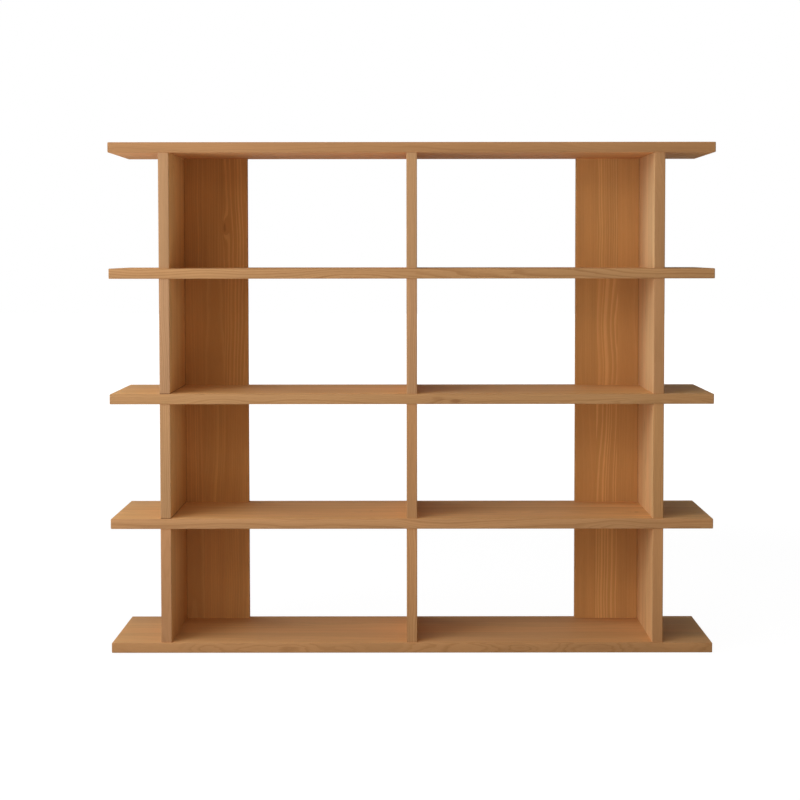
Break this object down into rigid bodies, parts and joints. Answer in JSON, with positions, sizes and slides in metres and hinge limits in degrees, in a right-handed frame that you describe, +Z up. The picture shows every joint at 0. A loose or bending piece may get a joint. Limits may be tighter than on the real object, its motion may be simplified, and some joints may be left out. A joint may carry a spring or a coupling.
{
  "type": "bookcase",
  "caption": "Open low bookcase of solid wood boards, with long overhanging shelves on side boards, narrow back panels at the ends and a central divider.",
  "frame": {"origin": "on the floor under the middle of the shelves, between the glides", "axes": "+X along the shelves to the viewer's right, +Y from the open front to the back, +Z up"},
  "size_m": [1.6, 0.4, 1.359],
  "materials": {
    "oiled_wood": "oiled, matt",
    "tenon_wood": "bare",
    "fitting_steel": "zinc plated",
    "insert_brass": "plain",
    "felt": "felt"
  },
  "bodies": {
    "root": {"top_shelf": "oiled_wood", "upper_shelf": "oiled_wood", "middle_shelf": "oiled_wood", "lower_shelf": "oiled_wood", "base_shelf": "oiled_wood", "top_storey_left_side": "oiled_wood", "top_storey_right_side": "oiled_wood", "top_storey_divider": "oiled_wood", "top_storey_left_back_panel": "oiled_wood", "top_storey_right_back_panel": "oiled_wood", "upper_storey_left_side": "oiled_wood", "upper_storey_right_side": "oiled_wood", "upper_storey_divider": "oiled_wood", "upper_storey_left_back_panel": "oiled_wood", "upper_storey_right_back_panel": "oiled_wood", "lower_storey_left_side": "oiled_wood", "lower_storey_right_side": "oiled_wood", "lower_storey_divider": "oiled_wood", "lower_storey_left_back_panel": "oiled_wood", "lower_storey_right_back_panel": "oiled_wood", "bottom_storey_left_side": "oiled_wood", "bottom_storey_right_side": "oiled_wood", "bottom_storey_divider": "oiled_wood", "bottom_storey_left_back_panel": "oiled_wood", "bottom_storey_right_back_panel": "oiled_wood", "top_shelf_tenons": "tenon_wood", "upper_shelf_tenons": "tenon_wood", "middle_shelf_tenons": "tenon_wood", "lower_shelf_tenons": "tenon_wood", "base_shelf_tenons": "tenon_wood", "tie_rods": "fitting_steel", "rod_washers": "fitting_steel", "rod_nuts": "fitting_steel", "rod_inserts": "insert_brass", "felt_glides": "felt"}
  },
  "joints": []
}
